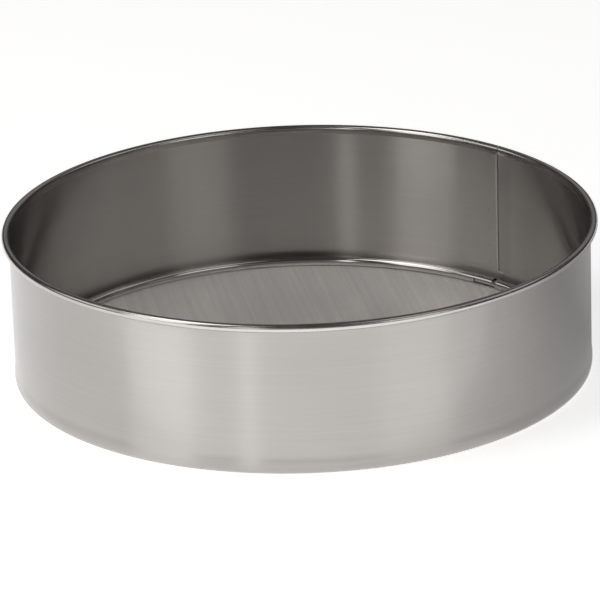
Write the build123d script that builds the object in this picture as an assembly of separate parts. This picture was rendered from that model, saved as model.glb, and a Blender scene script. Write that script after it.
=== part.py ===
from build123d import *
import math
import os

# A round sheet-steel soil sieve. The frame's origin is the centre of the base, +Z is up.
# All sizes are millimetres, and all azimuths are degrees counter-clockwise from +X.

# Driving dimensions of the drum
WALL_RADIUS = 150.0          # outside of the straight wall
HEIGHT = 80.0                # base to the top of the rolled rim
SHEET = 0.5                  # thickness of the drum's strip
RIM_BEAD = 4.25              # outside diameter of the rolled rim
RIM_SLIT = 0.3               # gap between the rolled edge and the wall
CORE_WIRE = 3.0              # wire inside the rolled rim
CORE_WIRE_GAP = 1.0          # gap between the core wire's ends
CORNER = 2.7                 # outside radius where the wall turns in under the mesh
LIP_INNER_RADIUS = 144.0     # inner edge of the turned-in lip
SWELL = 0.4                  # how far the wall stands out round the clamp ring
SWELL_LOW = 4.0              # height where the swelling starts to fall away
SWELL_HIGH = 10.0            # height where the wall is straight again

# Lap seam: the inner end of the strip stops at SEAM, and the outer end passes behind it
SEAM = 44.4                  # azimuth of the inner end
LAP = 5.0                    # degrees of overlap
JOGGLE = 3.5                 # degrees over which the outer layer steps back into the wall
LAP_LOW = 9.0
LAP_HIGH = 75.6
WELD_AZIMUTH = SEAM + 2.3
WELD_DIAMETER = 2.4
WELD_LOW = 12.4
WELD_PITCH = 10.3
WELD_COUNT = 7
PLUG_LENGTH = 4.0            # cutting length of a weld plug, longer than both layers are thick

# Woven mesh: the disc is the envelope of the plain weave, two wires thick
MESH_WIRE = 0.35
MESH_RADIUS = 147.8
MESH_BASE = SHEET + 0.05

# Clamp ring: a strip curled to an open-bottomed tube that holds the mesh on the lip
RING_SHEET = 0.5
RING_TUBE = 2.8              # outside radius of the tube
RING_RADIUS = 146.3          # radius of the tube's centre line
RING_HEIGHT = 2.95           # height of the tube's centre line
RING_MOUTH = 34.0            # degrees below level, seen from the tube's centre, where the strip's edges are
RING_NOTCH = 5.0             # degrees by which the low flange is cut back at the upper end
RING_NOTCH_FROM = 155.0      # the cut-back part of the section starts at this angle
TONGUE_TUBE = 1.95           # centre-line radius of the tongue nested in the other end
TONGUE_SHEET = 0.4
TONGUE_END = SEAM + 7.0
TONGUE_STEP = 0.5            # degrees taken by the step down to the tongue
TONGUE_TRIM = 6.0            # degrees by which each edge of the tongue's section stops short of the tube's
STEP_TRIM = 12.0             # the same for the section of the step

WALL_MID = WALL_RADIUS - SHEET / 2
SWELL_MID = WALL_MID + SWELL
RIM_CENTRE = (WALL_RADIUS - SHEET + RIM_BEAD / 2, HEIGHT - RIM_BEAD / 2)
RING_CENTRE = (RING_RADIUS, RING_HEIGHT)


def sheet_section(edges, thickness):
    """The strip's section: both sides of a mid-line drawn as radius and height."""
    outline = Wire(edges).offset_2d(thickness / 2, kind=Kind.ARC, side=Side.BOTH)
    return Plane.XZ * Face(outline)


def turned(section, start, sweep):
    """The section revolved about the drum's axis from the azimuth start."""
    return Rot(0, 0, start) * revolve(section, Axis.Z, sweep)


def polar(radius, azimuth):
    angle = math.radians(azimuth)
    return (radius * math.cos(angle), radius * math.sin(angle))


def bottom_edges():
    """Mid-line of the lip, the corner and the swelling, from the lip's edge upwards."""
    corner_mid = CORNER - SHEET / 2
    corner_centre = (SWELL_MID - corner_mid, CORNER)
    rise = SWELL_HIGH - SWELL_LOW
    turn = 2 * math.degrees(math.atan(SWELL / rise))
    bend = rise / 2 / math.sin(math.radians(turn))
    return [
        Line((LIP_INNER_RADIUS + SHEET / 2, SHEET / 2), (corner_centre[0], SHEET / 2)),
        CenterArc(corner_centre, corner_mid, -90, 90),
        Line((SWELL_MID, CORNER), (SWELL_MID, SWELL_LOW)),
        CenterArc((SWELL_MID - bend, SWELL_LOW), bend, 0, turn),
        CenterArc((WALL_MID + bend, SWELL_HIGH), bend, 180 + turn, -turn),
    ]


def rim_edges():
    """Mid-line of the straight wall and of the rim rolled outwards round its wire."""
    curl = RIM_BEAD / 2 - SHEET / 2
    end_radius = WALL_RADIUS + RIM_SLIT + SHEET / 2
    open_angle = math.degrees(math.acos((RIM_CENTRE[0] - end_radius) / curl))
    return [
        Line((WALL_MID, SWELL_HIGH), (WALL_MID, RIM_CENTRE[1])),
        CenterArc(RIM_CENTRE, curl, 180, open_angle - 360),
    ]


def lap_layer():
    """The outer end of the strip: an arc behind the inner end, then a step back inwards."""
    low = WALL_RADIUS
    high = WALL_RADIUS + SHEET
    middle = SEAM + LAP / 2
    outline = [
        Line(polar(low, SEAM + LAP), polar(high, SEAM + LAP)),
        ThreePointArc(polar(high, SEAM + LAP), polar(high, middle), polar(high, SEAM)),
        Line(polar(high, SEAM), polar(low, SEAM - JOGGLE)),
        Line(polar(low, SEAM - JOGGLE), polar(low - SHEET, SEAM - JOGGLE)),
        Line(polar(low - SHEET, SEAM - JOGGLE), polar(low, SEAM)),
        ThreePointArc(polar(low, SEAM), polar(low, middle), polar(low, SEAM + LAP)),
    ]
    layer = extrude(Face(Wire(outline)), LAP_HIGH - LAP_LOW, dir=(0, 0, 1))
    return Pos(0, 0, LAP_LOW) * layer


def joggle_space():
    """The stretch of the plain wall that the stepped outer layer takes the place of."""
    width = WALL_RADIUS + SWELL - (WALL_RADIUS - 2 * SHEET)
    middle = WALL_RADIUS + SWELL - width / 2
    block = Plane.XZ * Pos(middle, (LAP_LOW + LAP_HIGH) / 2) * Rectangle(width, LAP_HIGH - LAP_LOW)
    return turned(block, SEAM - JOGGLE, JOGGLE)


def make_drum():
    drum = turned(sheet_section(bottom_edges() + rim_edges(), SHEET), 0, 360)
    return drum - joggle_space() + lap_layer()


def weld_plugs():
    """Round plugs through both layers of the lap, one for each spot weld."""
    plugs = []
    for i in range(WELD_COUNT):
        plug = Rot(0, 90, 0) * Cylinder(WELD_DIAMETER / 2, PLUG_LENGTH)
        x, y = polar(WALL_RADIUS, WELD_AZIMUTH)
        plugs.append(Pos(x, y, WELD_LOW + i * WELD_PITCH) * Rot(0, 0, WELD_AZIMUTH) * plug)
    return plugs


def make_core_wire():
    gap = math.degrees(CORE_WIRE_GAP / RIM_CENTRE[0])
    wire = Plane.XZ * Pos(*RIM_CENTRE) * Circle(CORE_WIRE / 2)
    return turned(wire, SEAM + gap / 2, 360 - gap)


def ring_section(radius, thickness, trim=0.0, end=180 + RING_MOUTH):
    """The open-bottomed tube's section, its edges pulled in by trim degrees, or cut off at end."""
    start = trim - RING_MOUTH
    return sheet_section([CenterArc(RING_CENTRE, radius, start, end - trim - start)], thickness)


def make_clamp_ring():
    """One end keeps its top over the seam, and the other end nests under it as a tongue."""
    middle = RING_TUBE - RING_SHEET / 2
    full = ring_section(middle, RING_SHEET)
    upper = ring_section(middle, RING_SHEET, end=RING_NOTCH_FROM)
    tongue = ring_section(TONGUE_TUBE, TONGUE_SHEET, TONGUE_TRIM)
    inside = TONGUE_TUBE - TONGUE_SHEET / 2
    step = ring_section((RING_TUBE + inside) / 2, RING_TUBE - inside, STEP_TRIM)
    step_start = SEAM - 2 * TONGUE_STEP
    ring = turned(full, SEAM + RING_NOTCH, 360 - RING_NOTCH - TONGUE_STEP)
    ring += turned(upper, SEAM, RING_NOTCH)
    ring += turned(step, step_start, TONGUE_STEP)
    ring += turned(tongue, step_start, TONGUE_END - step_start)
    return ring


def make_mesh_disc():
    thickness = 2 * MESH_WIRE
    return Pos(0, 0, MESH_BASE + thickness / 2) * Cylinder(MESH_RADIUS, thickness)


def save(name, solids):
    shape = Compound(children=solids) if len(solids) > 1 else solids[0]
    shape.label = name
    export_step(shape, os.path.join("parts", name + ".step"))


os.makedirs("parts", exist_ok=True)

whole_drum = make_drum()
plugs = weld_plugs()
drum = whole_drum
for plug in plugs:
    drum = drum - plug
welds = [(whole_drum & plug).solids()[0] for plug in plugs]

save("drum_wall", drum.solids())
save("seam_spot_welds", welds)
save("rim_core_wire", make_core_wire().solids())
save("woven_mesh", make_mesh_disc().solids())
save("mesh_clamp_ring", make_clamp_ring().solids())
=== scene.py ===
import math

import bmesh
import bpy
import numpy as np
from mathutils import Matrix, Vector


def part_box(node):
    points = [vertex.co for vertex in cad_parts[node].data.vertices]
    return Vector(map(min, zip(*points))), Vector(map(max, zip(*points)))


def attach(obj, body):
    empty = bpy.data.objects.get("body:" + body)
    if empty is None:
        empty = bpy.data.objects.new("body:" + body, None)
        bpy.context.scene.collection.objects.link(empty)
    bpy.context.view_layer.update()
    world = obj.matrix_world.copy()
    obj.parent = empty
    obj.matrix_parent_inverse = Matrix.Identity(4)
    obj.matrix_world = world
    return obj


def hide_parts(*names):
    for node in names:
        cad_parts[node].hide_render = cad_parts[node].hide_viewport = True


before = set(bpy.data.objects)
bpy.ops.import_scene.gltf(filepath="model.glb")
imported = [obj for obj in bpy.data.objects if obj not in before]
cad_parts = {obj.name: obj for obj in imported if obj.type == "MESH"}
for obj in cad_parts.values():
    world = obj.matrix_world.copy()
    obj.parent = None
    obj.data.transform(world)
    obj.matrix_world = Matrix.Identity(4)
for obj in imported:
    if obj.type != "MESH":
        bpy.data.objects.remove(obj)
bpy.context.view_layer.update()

MM = 0.001

# Highest corners, and the cloth's lowest, that the frame gives
drum_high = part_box("drum_wall")[1]
ring_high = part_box("mesh_clamp_ring")[1]
cloth_low, cloth_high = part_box("woven_mesh")

# The drum's strip, in metres
SHEET = 0.5 * MM
RIM_BEAD = 4.25 * MM
RIM_SLIT = 0.3 * MM
CORNER = 2.7 * MM
LIP_RADIUS = 144.0 * MM
SWELL = 0.4 * MM
SWELL_LOW = 4.0 * MM
SWELL_HIGH = 10.0 * MM
HEIGHT = drum_high.z
RIM_RADIUS = min(drum_high.x, drum_high.y)    # the smaller one keeps the rim inside the frame's box
WALL_RADIUS = RIM_RADIUS + SHEET - RIM_BEAD
WALL_MID = WALL_RADIUS - SHEET / 2
SWELL_MID = WALL_MID + SWELL
RIM_CENTRE = (WALL_RADIUS - SHEET + RIM_BEAD / 2, HEIGHT - RIM_BEAD / 2)

# The lap seam: the inner end of the strip stops at the azimuth SEAM, and the outer end steps out behind
# it over JOGGLE degrees and laps it by LAP degrees
SEAM = 44.4
LAP = 5.0
JOGGLE = 3.5
LAP_LOW = 9.0 * MM
LAP_HIGH = 75.6 * MM
LAP_GAP = 0.03 * MM          # gap between the two layers
LAP_END_THIN = 0.7           # share of the thickness left at the outer end
SEAM_GROOVE = 0.16 * MM      # depth of the line that the seam leaves in the rim and the foot
SEAM_FINE = 0.12             # degrees on each side of the seam that have columns of their own

# Degrees past the inner end, and how much its inside edge is rounded off there
SEAM_ROUND = ((0.0, 0.25 * MM), (0.05, 0.085 * MM))

# The spot welds
WELD_AZIMUTH = SEAM + 2.3
WELD_RADIUS = 1.1 * MM
WELD_LOW = 12.4 * MM
WELD_PITCH = 10.3 * MM
WELD_COUNT = 7
WELD_SIDES = 32
WELD_BACKING = 0.1 * MM      # how far a weld's hidden point lies behind the face

# How far a weld stands out from the face: at its centre, and at shares of its radius
WELD_CENTRE_STAND = 0.015 * MM
WELD_PROFILE = (
    (0.35, 0.02 * MM),
    (0.6, 0.05 * MM),
    (0.78, 0.1 * MM),
    (0.92, 0.07 * MM),
    (1.0, -0.02 * MM),
)

# The clamp ring: a strip curled to an open-bottomed tube, whose far end nests under its start as a tongue
RING_SHEET = 0.5 * MM
RING_TUBE = 2.8 * MM         # outside radius of the tube
RING_CENTRE = (ring_high.x - RING_TUBE, ring_high.z - RING_TUBE)
RING_MOUTH = 34.0            # degrees below level where the strip's edges are
RING_NOTCH = 5.0             # degrees by which the low flange is cut back at the start
RING_NOTCH_FROM = 155.0      # angle of the section where the cut-back part begins
RING_END_THIN = 0.75         # share of the thickness left at the ring's two ends
TONGUE_TUBE = 1.95 * MM      # middle radius of the tongue's tube
TONGUE_SHEET = 0.4 * MM
TONGUE_STEP = 0.5            # degrees taken by the step down to the tongue
TONGUE_LENGTH = 7.0          # degrees that it reaches past the seam
TONGUE_TRIM = 6.0            # degrees by which its edges stop short of the tube's

# The woven cloth
CLOTH_RADIUS = cloth_high.x
WIRE_RADIUS = (cloth_high.z - cloth_low.z) / 4
CLOTH_MIDDLE = (cloth_high.z + cloth_low.z) / 2
WIRE_PITCH = 1.0 * MM
CLOTH_TURN = 9.0             # degrees that the wires are turned from straight ahead
STRIPS = 3                   # groups that each family of wires is divided into

# How finely the sheets are divided: degrees between columns, and rows along each run of a section
COLUMN_STEP = 0.6
FINE_MARGIN = 1.0            # degrees before the joggle where the closer columns start
LIP_ROWS = 2
CORNER_ROWS = 10
SWELL_ROWS = 6
WALL_ROWS = 9
NECK_ROWS = 2
CURL_ROWS = 34
CURL_EDGE_TURN = 3.0         # degrees of the curl at its edge, where it has rows of its own
CURL_EDGE_ROWS = 2
RING_TOP_ROWS = 34
RING_FLANGE_ROWS = 12

# Edges and tolerances
EDGE_EASE = 0.1 * MM         # width of the eased strip along a cut edge
EDGE_THIN = 0.6              # share of the thickness left at a cut edge
WINDOW_SLACK = 0.2 * MM      # rows this near to the lap's ends belong to it
MERGE_DISTANCE = 1e-6
SAME_AZIMUTH = 1e-6

# Angles in degrees above which an edge is shaded sharp
DRUM_SHARP = 32
RING_SHARP = 40
WELD_SHARP = 60
WIRE_SHARP = 100


# ---------------------------------------------------------------- sections

def line_rows(start, end, count):
    """Rows of radius, height and outward normal along a straight run, without its last point."""
    run = np.array(end) - np.array(start)
    run = run / np.linalg.norm(run)
    shares = np.linspace(0, 1, count + 1)[:-1, None]
    points = np.array(start) + shares * (np.array(end) - np.array(start))
    return np.hstack([points, np.tile([run[1], -run[0]], (count, 1))])


def arc_rows(centre, radius, start, sweep, count):
    """Rows along an arc, without its last point. A negative sweep runs clockwise."""
    angles = np.radians(start + np.linspace(0, 1, count + 1)[:-1] * sweep)
    spokes = np.column_stack([np.cos(angles), np.sin(angles)])
    return np.hstack([np.array(centre) + radius * spokes, spokes * math.copysign(1, sweep)])


def drum_rows():
    """The strip's mid-line from the lip's edge, up the wall and round the rolled rim."""
    corner = CORNER - SHEET / 2
    corner_centre = (SWELL_MID - corner, CORNER)
    rise = SWELL_HIGH - SWELL_LOW
    turn = 2 * math.degrees(math.atan(SWELL / rise))
    bend = rise / 2 / math.sin(math.radians(turn))
    curl = RIM_BEAD / 2 - SHEET / 2
    rolled_edge = WALL_RADIUS + RIM_SLIT + SHEET / 2
    opening = math.degrees(math.acos((RIM_CENTRE[0] - rolled_edge) / curl))
    lip_edge = (LIP_RADIUS, SHEET / 2)
    lip_eased = (LIP_RADIUS + EDGE_EASE, SHEET / 2)
    return np.vstack([
        line_rows(lip_edge, lip_eased, 1),
        line_rows(lip_eased, (corner_centre[0], SHEET / 2), LIP_ROWS),
        arc_rows(corner_centre, corner, -90, 90, CORNER_ROWS),
        line_rows((SWELL_MID, CORNER), (SWELL_MID, SWELL_LOW), 1),
        arc_rows((SWELL_MID - bend, SWELL_LOW), bend, 0, turn, SWELL_ROWS),
        arc_rows((WALL_MID + bend, SWELL_HIGH), bend, 180 + turn, -turn, SWELL_ROWS),
        line_rows((WALL_MID, SWELL_HIGH), (WALL_MID, LAP_HIGH), WALL_ROWS),
        line_rows((WALL_MID, LAP_HIGH), (WALL_MID, RIM_CENTRE[1]), NECK_ROWS),
        arc_rows(RIM_CENTRE, curl, 180, opening - 360, CURL_ROWS),
        arc_rows(RIM_CENTRE, curl, opening - 180, -CURL_EDGE_TURN, CURL_EDGE_ROWS),
    ])


# ---------------------------------------------------------------- mesh builders

def add_object(name, mesh):
    obj = bpy.data.objects.new(name, mesh)
    bpy.context.scene.collection.objects.link(obj)
    return obj


def mesh_from(name, vertices, quads):
    """A mesh from an array of points and an array of four point numbers for each face."""
    mesh = bpy.data.meshes.new(name)
    mesh.vertices.add(len(vertices))
    mesh.vertices.foreach_set("co", vertices.astype(np.float32).ravel())
    mesh.loops.add(quads.size)
    mesh.loops.foreach_set("vertex_index", quads.astype(np.int32).ravel())
    mesh.polygons.add(len(quads))
    mesh.polygons.foreach_set("loop_start", np.arange(0, quads.size, 4, dtype=np.int32))
    mesh.update(calc_edges=True)
    mesh.validate()
    return mesh


def smooth(mesh, sharp_angle):
    """Smooth shading, apart from the edges that bend by more than sharp_angle degrees."""
    mesh.polygons.foreach_set("use_smooth", np.ones(len(mesh.polygons), bool))
    mesh.set_sharp_from_angle(angle=math.radians(sharp_angle))


def thick_sheet(name, front, back, cells, sharp_angle, joined=None):
    """A closed sheet from the grids of its two sides: cells says which quads the sheet has.

    joined gives two columns of cells that meet and the rows where they do, which get no end faces.
    """
    columns, rows = cells.shape
    index = np.arange((columns + 1) * (rows + 1)).reshape(columns + 1, rows + 1)
    shift = index.size
    k, i = np.nonzero(cells)
    sides = [index[k, i], index[k + 1, i], index[k + 1, i + 1], index[k, i + 1]]
    faces = [np.column_stack(sides), np.column_stack(sides[::-1]) + shift]
    padded = np.zeros((columns + 2, rows + 2), bool)
    padded[1:-1, 1:-1] = cells
    if joined is not None:
        first, last, closed = joined
        padded[first, 1:-1] |= closed
        padded[last + 2, 1:-1] |= closed
    neighbours = [(k + 1, i), (k + 2, i + 1), (k + 1, i + 2), (k, i + 1)]
    for side, (next_k, next_i) in enumerate(neighbours):
        bare = ~padded[next_k, next_i]
        a = sides[side][bare]
        b = sides[(side + 1) % 4][bare]
        faces.append(np.column_stack([b, a, a + shift, b + shift]))
    vertices = np.vstack([front.reshape(-1, 3), back.reshape(-1, 3)])
    quads = np.vstack(faces)
    used, compact = np.unique(quads, return_inverse=True)
    mesh = mesh_from(name, vertices[used], compact.reshape(quads.shape))
    weld = bmesh.new()
    weld.from_mesh(mesh)
    bmesh.ops.remove_doubles(weld, verts=weld.verts, dist=MERGE_DISTANCE)
    weld.to_mesh(mesh)
    weld.free()
    smooth(mesh, sharp_angle)
    return add_object(name, mesh)


def turned(radius, height, azimuth):
    """The points at a radius and height, turned to each azimuth in degrees."""
    angle = np.radians(azimuth)
    return np.stack([radius * np.cos(angle), radius * np.sin(angle), height + 0 * radius], -1)


def steps(start, end, pitch):
    """Evenly spaced azimuths from start up to but not including end."""
    count = max(1, round(abs(end - start) / pitch))
    return np.linspace(start, end, count + 1)[:-1]


# ---------------------------------------------------------------- the drum

def make_drum():
    """The whole strip: once round from the seam, and on over the lap in the rows of its window."""
    rows = drum_rows()
    turn = SEAM + 360
    fine_from = turn - JOGGLE - FINE_MARGIN
    azimuths = np.concatenate([
        [SEAM + past for past, cut in SEAM_ROUND],
        steps(SEAM + SEAM_FINE, fine_from, COLUMN_STEP),
        steps(fine_from, turn - SEAM_FINE, COLUMN_STEP / 2),
        [turn - SEAM_FINE, turn],
        steps(turn, turn + LAP, COLUMN_STEP)[1:],
        [turn + LAP],
    ])
    main = int(np.searchsorted(azimuths, turn - SAME_AZIMUTH))
    radius, height, normal_r, normal_z = (column[None, :] for column in rows.T)
    azimuth = azimuths[:, None]
    window = (rows[:, 1] > LAP_LOW - WINDOW_SLACK) & (rows[:, 1] < LAP_HIGH + WINDOW_SLACK)

    ramp = np.clip((azimuth - (turn - JOGGLE)) / JOGGLE, 0, 1)
    lap = ramp * (SHEET + LAP_GAP) * window[None, :]
    half = np.full(len(rows), SHEET / 2)
    half[[0, -1]] *= EDGE_THIN
    tail_end = np.ones(len(azimuths))
    tail_end[-1] = LAP_END_THIN
    half = half[None, :] * tail_end[:, None]

    in_rim = rows[None, :, 1] > RIM_CENTRE[1] - RIM_BEAD / 2
    at_seam = np.minimum(abs(azimuth - SEAM), abs(azimuth - turn)) < SAME_AZIMUTH
    groove = SEAM_GROOVE * (in_rim & at_seam & ~window[None, :])

    front = turned(radius + lap + normal_r * half, height + normal_z * half, azimuth)
    rounding = np.zeros(len(azimuths))
    rounding[:len(SEAM_ROUND)] = [cut for past, cut in SEAM_ROUND]
    inner_half = half - groove - rounding[:, None] * window[None, :]
    back = turned(radius + lap - normal_r * inner_half, height - normal_z * inner_half, azimuth)

    row_open = window[:-1] | window[1:]
    cells = np.ones((len(azimuths) - 1, len(rows) - 1), bool)
    cells[main:] = (window[:-1] & window[1:])[None, :]
    meeting = (0, main - 1, ~row_open)
    drum = thick_sheet("drum_shell", front, back, cells, DRUM_SHARP, joined=meeting)
    centres = np.empty((len(drum.data.polygons), 3), np.float32)
    drum.data.polygons.foreach_get("center", centres.ravel())
    rolled = centres[:, 2] > HEIGHT - RIM_BEAD
    drum.data.polygons.foreach_set("material_index", rolled.astype(np.int32))
    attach(drum, "drum")
    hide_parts("drum_wall")
    return drum


def make_welds():
    """Each spot weld is a dished button with a raised lip, on the inside and on the outside."""
    around = np.linspace(0, 2 * math.pi, WELD_SIDES + 1)[:-1]
    angle = math.radians(WELD_AZIMUTH)
    outward = Vector((math.cos(angle), math.sin(angle), 0))
    sideways = Vector((-math.sin(angle), math.cos(angle), 0))
    up = Vector((0, 0, 1))
    welds = bmesh.new()
    for i in range(WELD_COUNT):
        height = WELD_LOW + i * WELD_PITCH
        for face, direction in ((WALL_RADIUS - SHEET, -1), (WALL_RADIUS + SHEET + LAP_GAP, 1)):
            rings = []
            for share, stand in WELD_PROFILE:
                reach = share * WELD_RADIUS
                ring = []
                for t in around:
                    across = reach * math.cos(t)
                    sag = math.sqrt(face * face - across * across)
                    point = outward * (sag + direction * stand)
                    point += sideways * across + up * (height + reach * math.sin(t))
                    ring.append(welds.verts.new(point))
                rings.append(ring)
            centre = welds.verts.new(outward * (face + direction * WELD_CENTRE_STAND) + up * height)
            backing = welds.verts.new(outward * (face - direction * WELD_BACKING) + up * height)
            for j in range(WELD_SIDES):
                following = (j + 1) % WELD_SIDES
                welds.faces.new([centre, rings[0][j], rings[0][following]])
                welds.faces.new([backing, rings[-1][following], rings[-1][j]])
                for low, high in zip(rings, rings[1:]):
                    welds.faces.new([low[j], high[j], high[following], low[following]])
    bmesh.ops.recalc_face_normals(welds, faces=welds.faces)
    mesh = bpy.data.meshes.new("spot_welds")
    welds.to_mesh(mesh)
    welds.free()
    smooth(mesh, WELD_SHARP)
    obj = add_object("spot_welds", mesh)
    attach(obj, "drum")
    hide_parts("seam_spot_welds")
    return obj


# ---------------------------------------------------------------- the clamp ring

def make_ring():
    """The curled strip once round from the seam, then the step down and the tongue under its start."""
    turn = SEAM + 360
    tongue_start = turn - TONGUE_STEP
    step_start = tongue_start - TONGUE_STEP
    azimuths = np.concatenate([
        steps(SEAM, SEAM + RING_NOTCH, COLUMN_STEP),
        steps(SEAM + RING_NOTCH, step_start, COLUMN_STEP),
        steps(step_start, tongue_start, TONGUE_STEP / 3),
        steps(tongue_start, turn + TONGUE_LENGTH, COLUMN_STEP),
        [turn + TONGUE_LENGTH],
    ])
    notch = int(np.searchsorted(azimuths, SEAM + RING_NOTCH - SAME_AZIMUTH))
    top_angles = np.linspace(-RING_MOUTH, RING_NOTCH_FROM, RING_TOP_ROWS)
    flange_angles = np.linspace(RING_NOTCH_FROM, 180 + RING_MOUTH, RING_FLANGE_ROWS)[1:]
    angles = np.concatenate([top_angles, flange_angles])
    edge = math.degrees(EDGE_EASE / RING_TUBE)
    eased = [angles[0] + edge, angles[-1] - edge]
    angles = np.concatenate([angles[:1], eased[:1], angles[1:-1], eased[1:], angles[-1:]])
    top_cells = len(top_angles)

    share = np.clip((azimuths - step_start) / TONGUE_STEP, 0, 1)
    share = (share * share * (3 - 2 * share))[:, None]
    middle = (RING_TUBE - RING_SHEET / 2) * (1 - share) + TONGUE_TUBE * share
    half = (RING_SHEET * (1 - share) + TONGUE_SHEET * share) / 2 * np.ones(len(angles))
    half[:, [0, -1]] *= EDGE_THIN
    half[[0, -1], :] *= RING_END_THIN
    trim = 1 - share * TONGUE_TRIM / (90 + RING_MOUTH)
    spokes = np.radians(90 + (angles[None, :] - 90) * trim)
    azimuth = azimuths[:, None]
    front = turned(RING_CENTRE[0] + (middle + half) * np.cos(spokes),
                   RING_CENTRE[1] + (middle + half) * np.sin(spokes), azimuth)
    back = turned(RING_CENTRE[0] + (middle - half) * np.cos(spokes),
                  RING_CENTRE[1] + (middle - half) * np.sin(spokes), azimuth)
    cells = np.ones((len(azimuths) - 1, len(angles) - 1), bool)
    cells[:notch, top_cells:] = False
    ring = thick_sheet("clamp_ring_curl", front, back, cells, RING_SHARP)
    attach(ring, "clamp_ring")
    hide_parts("mesh_clamp_ring")
    return ring


# ---------------------------------------------------------------- the woven cloth

def wire_family(direction, parity):
    """Every wire along one direction: one square ring of points at each crossing, over and under."""
    along = np.array([math.cos(direction), math.sin(direction), 0])
    across = np.array([-along[1], along[0], 0])
    up = np.array([0, 0, 1.0])
    reach = CLOTH_RADIUS - WIRE_RADIUS
    count = int(reach / WIRE_PITCH)
    corners = [(1, 1), (-1, 1), (-1, -1), (1, -1)]
    wires = []
    for j in range(-count, count):
        offset = (j + 0.5) * WIRE_PITCH
        half = math.sqrt(reach * reach - offset * offset)
        crossings = np.arange(-count, count)
        places = (crossings + 0.5) * WIRE_PITCH
        inside = abs(places) < half - WIRE_PITCH / 4
        if inside.sum() < 2:
            continue
        rise = np.where((crossings + j + parity) % 2 == 0, 1.0, -1.0)[inside]
        places = np.concatenate([[-half], places[inside], [half]])
        rise = np.concatenate([[0], rise, [0]]) * WIRE_RADIUS
        middle = places[:, None] * along + offset * across + (CLOTH_MIDDLE + rise)[:, None] * up
        rings = [middle + WIRE_RADIUS * (a * across + b * up) for a, b in corners]
        wires.append(np.stack(rings, 1))
    return wires


def wires_mesh(name, wires):
    """One mesh of square-sectioned wires, each closed at both ends."""
    vertices = []
    quads = []
    base = 0
    for rings in wires:
        count = len(rings)
        index = base + np.arange(count * 4).reshape(count, 4)
        following = np.roll(index, -1, 1)
        sides = np.stack([index[:-1], index[1:], following[1:], following[:-1]], -1).reshape(-1, 4)
        quads += [sides, index[:1, ::-1], index[-1:]]
        vertices.append(rings.reshape(-1, 3))
        base += count * 4
    return mesh_from(name, np.vstack(vertices), np.vstack(quads))


def make_cloth():
    """Warp and weft, each laid as STRIPS joined groups of wires of about the same total length."""
    pieces = []
    turn = math.radians(CLOTH_TURN)
    families = (("warp_wires", math.pi / 2 + turn, 0), ("weft_wires", turn, 1))
    for name, direction, parity in families:
        wires = wire_family(direction, parity)
        lengths = np.cumsum([len(rings) for rings in wires])
        group = np.minimum((lengths - 1) * STRIPS // lengths[-1], STRIPS - 1)
        for strip in range(STRIPS):
            chosen = [rings for rings, g in zip(wires, group) if g == strip]
            label = f"{name}_{strip + 1}"
            mesh = wires_mesh(label, chosen)
            smooth(mesh, WIRE_SHARP)
            piece = add_object(label, mesh)
            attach(piece, "screen")
            pieces.append(piece)
    for piece in pieces:
        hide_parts("woven_mesh")
    return pieces


# ---------------------------------------------------------------- materials

ANISO_ROTATION = 0.25        # share of a turn: the wall's highlights spread up and down
GLOSS_ROUGHNESS = 0.05       # the clearer reflection that lies over the satin one
GLOSS_IOR = 1.6
NOISE_LOW = 0.25             # the part of a noise's range that a finish uses
NOISE_HIGH = 0.75


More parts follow.
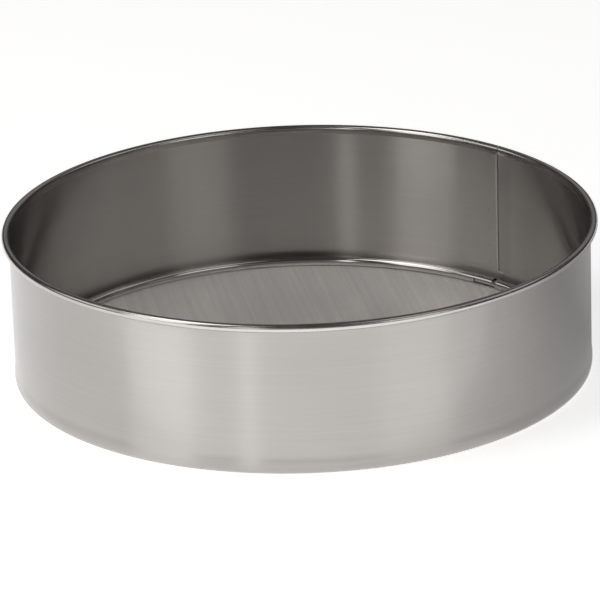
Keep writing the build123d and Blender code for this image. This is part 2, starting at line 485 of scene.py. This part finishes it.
class Steel:
    """A metal material: fine drawn lines, slow tone changes and the polish that varies with both."""

    def __init__(self, name, tone, roughness, anisotropic=0.0, gloss=0.0):
        self.material = bpy.data.materials.new(name)
        self.material.use_nodes = True
        self.tree = self.material.node_tree
        self.shader = self.tree.nodes["Principled BSDF"]
        self.shader.inputs["Metallic"].default_value = 1.0
        self.shader.inputs["Anisotropic"].default_value = anisotropic
        self.shader.inputs["Coat Weight"].default_value = gloss
        self.shader.inputs["Coat Roughness"].default_value = GLOSS_ROUGHNESS
        self.shader.inputs["Coat IOR"].default_value = GLOSS_IOR
        self.tone = tone
        self.roughness = roughness
        self.place = self.tree.nodes.new("ShaderNodeTexCoord").outputs["Object"]
        if anisotropic:
            tangent = self.tree.nodes.new("ShaderNodeTangent")
            tangent.direction_type = "RADIAL"
            tangent.axis = "Z"
            self.tree.links.new(tangent.outputs[0], self.shader.inputs["Tangent"])
            self.shader.inputs["Anisotropic Rotation"].default_value = ANISO_ROTATION

    def noise(self, scale, detail=3.0, turn=0.0):
        """Noise with scale features in a metre along each axis, the axes turned about Z."""
        mapping = self.tree.nodes.new("ShaderNodeMapping")
        mapping.vector_type = "TEXTURE"
        mapping.inputs["Rotation"].default_value = (0, 0, math.radians(turn))
        mapping.inputs["Scale"].default_value = [1 / s for s in scale]
        texture = self.tree.nodes.new("ShaderNodeTexNoise")
        texture.inputs["Scale"].default_value = 1.0
        texture.inputs["Detail"].default_value = detail
        self.tree.links.new(self.place, mapping.inputs["Vector"])
        self.tree.links.new(mapping.outputs[0], texture.inputs["Vector"])
        return texture.outputs["Fac"]

    def remap(self, value, low, high):
        """The noise's value turned into one between low and high."""
        node = self.tree.nodes.new("ShaderNodeMapRange")
        node.inputs["From Min"].default_value = NOISE_LOW
        node.inputs["From Max"].default_value = NOISE_HIGH
        node.inputs["To Min"].default_value = low
        node.inputs["To Max"].default_value = high
        self.tree.links.new(value, node.inputs["Value"])
        return node.outputs["Result"]

    def math(self, operation, a, b):
        """A math node's result. Each of a and b is a number or another node's output."""
        node = self.tree.nodes.new("ShaderNodeMath")
        node.operation = operation
        for socket, value in zip(node.inputs, (a, b)):
            if isinstance(value, (int, float)):
                socket.default_value = value
            else:
                self.tree.links.new(value, socket)
        return node.outputs[0]

    def blend(self, a, b, share):
        """A mix of share of a and the rest of b."""
        return self.math("ADD", self.math("MULTIPLY", a, share), self.math("MULTIPLY", b, 1 - share))

    def colour(self, value, low, high):
        """The tone scaled from low to high by value."""
        node = self.tree.nodes.new("ShaderNodeMix")
        node.data_type = "RGBA"
        node.inputs["A"].default_value = (*(c * low for c in self.tone), 1)
        node.inputs["B"].default_value = (*(c * high for c in self.tone), 1)
        self.tree.links.new(self.remap(value, 0, 1), node.inputs["Factor"])
        self.tree.links.new(node.outputs["Result"], self.shader.inputs["Base Color"])

    def polish(self, value, spread):
        """The roughness varied by value, by a share of spread each way."""
        rough = self.remap(value, self.roughness * (1 - spread), self.roughness * (1 + spread))
        self.tree.links.new(rough, self.shader.inputs["Roughness"])

    def bump(self, value, distance, strength):
        node = self.tree.nodes.new("ShaderNodeBump")
        node.inputs["Strength"].default_value = strength
        node.inputs["Distance"].default_value = distance
        self.tree.links.new(value, node.inputs["Height"])
        self.tree.links.new(node.outputs[0], self.shader.inputs["Normal"])

    def put_on(self, *objects):
        for obj in objects:
            obj.data.materials.append(self.material)

    def take_over(self, node):
        """Takes the place of the finish that a CAD node came with."""
        for slot in node.material_slots:
            slot.material = self.material


def sheet_steel():
    steel = Steel("satin_stainless_sheet", (0.48, 0.459, 0.442), 0.3, anisotropic=1.0, gloss=0.6)
    lines = steel.noise((12, 12, 900), detail=3.0)
    clouds = steel.noise((18, 18, 30), detail=4.0)
    steel.colour(steel.blend(lines, clouds, 0.6), 0.95, 1.04)
    steel.polish(clouds, 0.07)
    steel.bump(lines, 0.003 * MM, 0.1)
    return steel


def rim_steel():
    steel = Steel("burnished_rolled_rim", (0.54, 0.519, 0.503), 0.22)
    clouds = steel.noise((60, 60, 200), detail=3.0)
    steel.colour(clouds, 0.92, 1.06)
    steel.polish(clouds, 0.2)
    return steel


def ring_steel():
    steel = Steel("polished_ring_strip", (0.49, 0.471, 0.455), 0.13)
    lines = steel.noise((30, 30, 2500), detail=2.0)
    clouds = steel.noise((45, 45, 45), detail=3.0)
    steel.colour(clouds, 0.93, 1.05)
    steel.polish(clouds, 0.2)
    steel.bump(lines, 0.004 * MM, 0.2)
    return steel


def cloth_steel():
    steel = Steel("drawn_mesh_wire", (0.74, 0.716, 0.695), 0.5)
    streaks = steel.noise((420, 6, 6), detail=2.0, turn=CLOTH_TURN)
    clouds = steel.noise((12, 12, 12), detail=2.0)
    steel.colour(steel.blend(streaks, clouds, 0.6), 0.86, 1.12)
    steel.polish(steel.noise((160, 160, 160)), 0.12)
    return steel


def weld_steel():
    steel = Steel("pressed_weld_marks", (0.43, 0.412, 0.397), 0.34, anisotropic=1.0)
    specks = steel.noise((2200, 2200, 2200), detail=3.0)
    steel.colour(specks, 0.85, 1.1)
    steel.polish(specks, 0.15)
    steel.bump(specks, 0.01 * MM, 0.4)
    return steel


def wire_steel():
    steel = Steel("drawn_core_wire", (0.5, 0.49, 0.48), 0.4)
    lines = steel.noise((40, 40, 2000), detail=2.0)
    steel.colour(lines, 0.9, 1.05)
    steel.polish(lines, 0.15)
    steel.bump(lines, 0.006 * MM, 0.3)
    return steel


# ---------------------------------------------------------------- stage

FLOOR_TONE = 0.95
FLOOR_GLOW = 0.66
FLOOR_REACH = 5.0
STAGE_TINT = (1.0, 1.0, 0.995)
STAGE_ROUGHNESS = 0.9
STAGE_SPECULAR = 0.1
CARD_CUT = 0.1515            # radius of the round left out of a card for the drum's foot
CARD_EDGE_POINTS = 47

# Name, two corners, height and tone of the cards that lie on the floor, and the white one's even glow
# The white card glows though it is no lamp: a painted reflection of a brighter floor in front, seen only
# in the steel
WHITE_CARD = ("painted_reflection_white_card", (-1.6, -1.8), (0.35, -0.158), 0.2 * MM, 0.95, 0.98)
# The grey card is painted shade: a dim sheet that shows only in the steel and stands in for the floor's
# shade to the right of the drum
GREY_CARD = ("painted_shade_grey_card", (0.105, -0.158), (1.6, 0.31), 0.3 * MM, 0.5)

# Two places along Y and the grey card's glow at each: painted shade in the steel, darker towards the back
PAINTED_SHADE_FADE = ((-0.155, 0.7), (0.03, 0.22))


def stage_sheet(name, outline, height, tone, glow=0.0):
    """A matt level sheet, for the floor and the reflector cards."""
    mesh = bpy.data.meshes.new(name)
    mesh.from_pydata([(x, y, height) for x, y in outline], [], [list(range(len(outline)))])
    sheet = add_object(name, mesh)
    material = bpy.data.materials.new(name)
    material.use_nodes = True
    shader = material.node_tree.nodes["Principled BSDF"]
    shader.inputs["Base Color"].default_value = (*(tone * c for c in STAGE_TINT), 1)
    shader.inputs["Roughness"].default_value = STAGE_ROUGHNESS
    shader.inputs["Specular IOR Level"].default_value = STAGE_SPECULAR
    shader.inputs["Emission Color"].default_value = (*STAGE_TINT, 1)
    shader.inputs["Emission Strength"].default_value = glow
    mesh.materials.append(material)
    return sheet


def reflector_card(name, low, high, height, tone, glow=0.0):
    """A card that shows only in the steel, where its glow and tone paint a reflection. Its left edge is
    cut round the drum's foot.
    """
    edge = []
    for y in np.linspace(low[1], high[1], CARD_EDGE_POINTS):
        foot = math.sqrt(max(CARD_CUT ** 2 - y * y, 0))
        edge.append((max(low[0], foot) if foot > 0 else low[0], y))
    outline = edge[::-1] + [(high[0], low[1]), (high[0], high[1])]
    card = stage_sheet(name, outline, height, tone, glow)
    card.visible_camera = False
    card.visible_shadow = False
    card.visible_diffuse = False
    return card


def fade(sheet, front, back):
    """Lets the sheet's glow change evenly between two places along Y, each given with its strength."""
    tree = sheet.active_material.node_tree
    place = tree.nodes.new("ShaderNodeTexCoord")
    split = tree.nodes.new("ShaderNodeSeparateXYZ")
    ramp = tree.nodes.new("ShaderNodeMapRange")
    ramp.inputs["From Min"].default_value = front[0]
    ramp.inputs["From Max"].default_value = back[0]
    ramp.inputs["To Min"].default_value = front[1]
    ramp.inputs["To Max"].default_value = back[1]
    tree.links.new(place.outputs["Object"], split.inputs[0])
    tree.links.new(split.outputs["Y"], ramp.inputs["Value"])
    tree.links.new(ramp.outputs["Result"], tree.nodes["Principled BSDF"].inputs["Emission Strength"])


# ---------------------------------------------------------------- light and camera

WORLD_TINT = (1.0, 0.995, 0.985)
WORLD_STRENGTH = 0.05
LIGHT_TINT = (1.0, 0.99, 0.975)
LIGHT_TARGET = (0, 0, 0.05)

# Name, azimuth, elevation, distance, width, height and power of each softbox
SOFTBOXES = [
    ("key_left", -147, 34, 2.0, 0.82, 1.0, 4.8),
    ("key_high", -165, 62, 2.0, 1.0, 0.8, 6.6),
    ("key_low", -145, 12, 2.0, 0.92, 0.5, 2.2),
    ("window_strip", -111, 24, 2.0, 0.2, 1.0, 1.5),
    ("front_right_strip", -47, 24, 2.0, 0.92, 1.0, 3.0),
    ("front_fill", -92, 20, 2.4, 2.4, 0.5, 1.0),
    ("left_fill", 178, 30, 2.0, 1.0, 0.9, 2.8),
    ("right_fill", 10, 42, 2.0, 1.2, 0.9, 1.6),
    ("back_fill", 84, 30, 2.0, 2.2, 0.9, 1.3),
    ("top_right", -24, 64, 2.0, 1.0, 0.8, 1.5),
]


def area_light(name, azimuth, elevation, distance, width, height, power):
    """A softbox facing the sieve, width across and height up, from its azimuth and elevation."""
    light = bpy.data.lights.new(name, "AREA")
    light.shape = "RECTANGLE"
    light.size = width
    light.size_y = height
    light.energy = power
    light.color = LIGHT_TINT
    a = math.radians(azimuth)
    e = math.radians(elevation)
    way = Vector((math.cos(e) * math.cos(a), math.cos(e) * math.sin(a), math.sin(e)))
    obj = bpy.data.objects.new(name, light)
    obj.location = Vector(LIGHT_TARGET) + way * distance
    obj.rotation_euler = way.to_track_quat("Z", "Y").to_euler()
    obj.visible_camera = False
    bpy.context.scene.collection.objects.link(obj)


def light_studio():
    """The faint room light, the softboxes, the pale floor and the two cards that paint reflections in the
    steel.
    """
    world = bpy.data.worlds.new("studio")
    world.use_nodes = True
    background = world.node_tree.nodes["Background"]
    background.inputs["Color"].default_value = (*WORLD_TINT, 1)
    background.inputs["Strength"].default_value = WORLD_STRENGTH
    bpy.context.scene.world = world
    for softbox in SOFTBOXES:
        area_light(*softbox)
    far = FLOOR_REACH
    floor = [(-far, -far), (far, -far), (far, far), (-far, far)]
    stage_sheet("studio_floor", floor, 0.0, FLOOR_TONE, FLOOR_GLOW)
    reflector_card(*WHITE_CARD)
    painted_shade_grey_card = reflector_card(*GREY_CARD)
    # The grey card's glow fades towards the back, deepening the painted shade that the steel reflects
    fade(painted_shade_grey_card, *PAINTED_SHADE_FADE)


# Angles in degrees, distance in metres, lens and sensor in millimetres
CAMERA_ELEVATION = 20.58
CAMERA_DISTANCE = 2.5155
CAMERA_ROLL = 1.79
CAMERA_LENS = 291.1
CAMERA_SENSOR = 36.0
CAMERA_SHIFT = (-0.0025, -0.0138)
CAMERA_CLIP = 50


def place_camera():
    """The camera in front of the sieve, a little turned about its own line of sight."""
    elevation = math.radians(CAMERA_ELEVATION)
    target = Vector((0, 0, HEIGHT / 2))
    camera = bpy.data.cameras.new("camera")
    camera.sensor_width = CAMERA_SENSOR
    camera.lens = CAMERA_LENS
    camera.shift_x, camera.shift_y = CAMERA_SHIFT
    camera.clip_end = CAMERA_CLIP
    obj = bpy.data.objects.new("camera", camera)
    away = Vector((0, -math.cos(elevation), math.sin(elevation)))
    tilt = Matrix.Rotation(math.pi / 2 - elevation, 4, "X")
    roll = Matrix.Rotation(-math.radians(CAMERA_ROLL), 4, "Z")
    obj.matrix_world = Matrix.Translation(target + away * CAMERA_DISTANCE) @ tilt @ roll
    bpy.context.scene.collection.objects.link(obj)
    bpy.context.scene.camera = obj


place_camera()
light_studio()
drum = make_drum()
welds = make_welds()
ring = make_ring()
cloth = make_cloth()

sheet_steel().put_on(drum)
rim_steel().put_on(drum)
weld_steel().put_on(welds)
ring_steel().put_on(ring)
cloth_steel().put_on(*cloth)
wire_steel().take_over(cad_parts["rim_core_wire"])

bpy.context.scene.view_settings.view_transform = "Standard"
